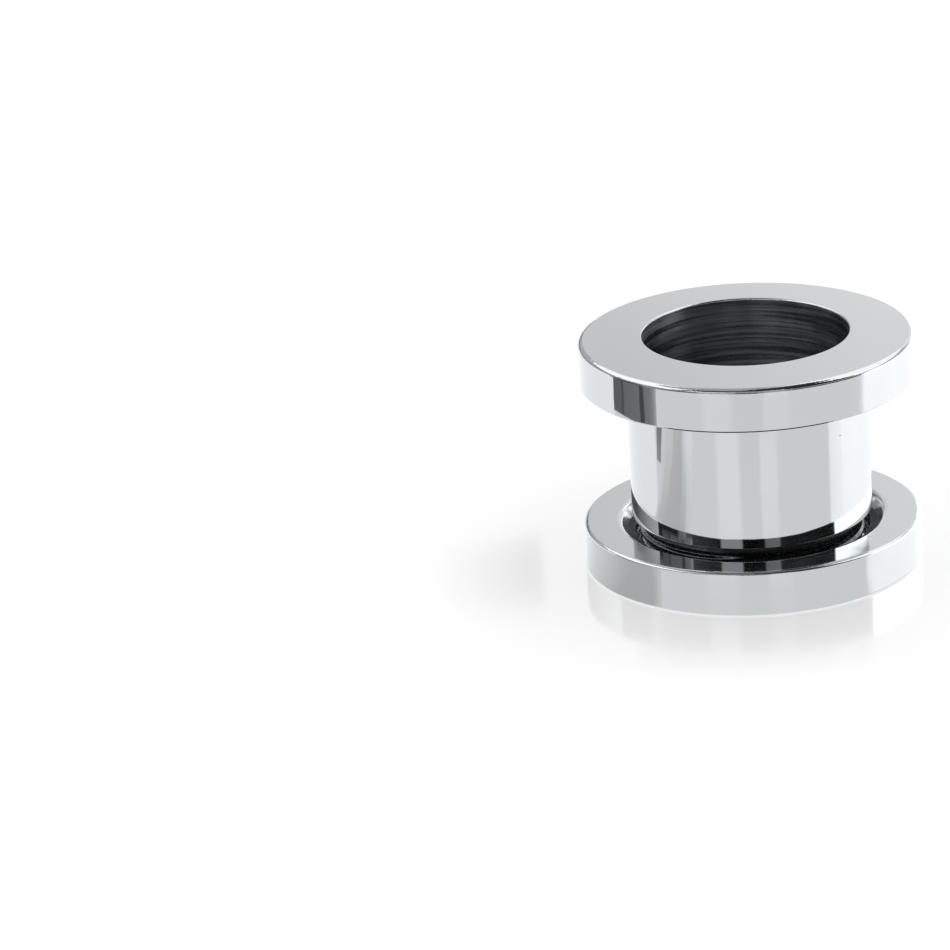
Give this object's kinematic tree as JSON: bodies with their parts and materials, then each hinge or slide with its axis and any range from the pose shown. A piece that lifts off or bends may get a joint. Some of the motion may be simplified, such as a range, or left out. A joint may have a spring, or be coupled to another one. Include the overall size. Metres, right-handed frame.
{
  "type": "ear tunnel",
  "caption": "Polished steel screw-fit ear tunnel: a hollow flanged tube with a threaded end, standing on the round screw-on back plate that holds it in a stretched earlobe.",
  "frame": {"origin": "middle of the screw plate's outer face, which the tunnel stands on", "axes": "+Z along the bore, from the screw plate towards the front flange"},
  "size_m": [0.014, 0.014, 0.0098],
  "materials": {
    "tube_steel": "mirror-polished stainless steel",
    "plate_steel": "mirror-polished stainless steel"
  },
  "bodies": {
    "plate": {"screw_plate": "plate_steel"},
    "tunnel": {"flanged_tube": "tube_steel"}
  },
  "joints": [
    {"name": "unscrew_lift", "type": "slide", "parent": "plate", "child": "tunnel", "axis": [0, 0, 1], "range_m": [0, 0.012]}
  ]
}
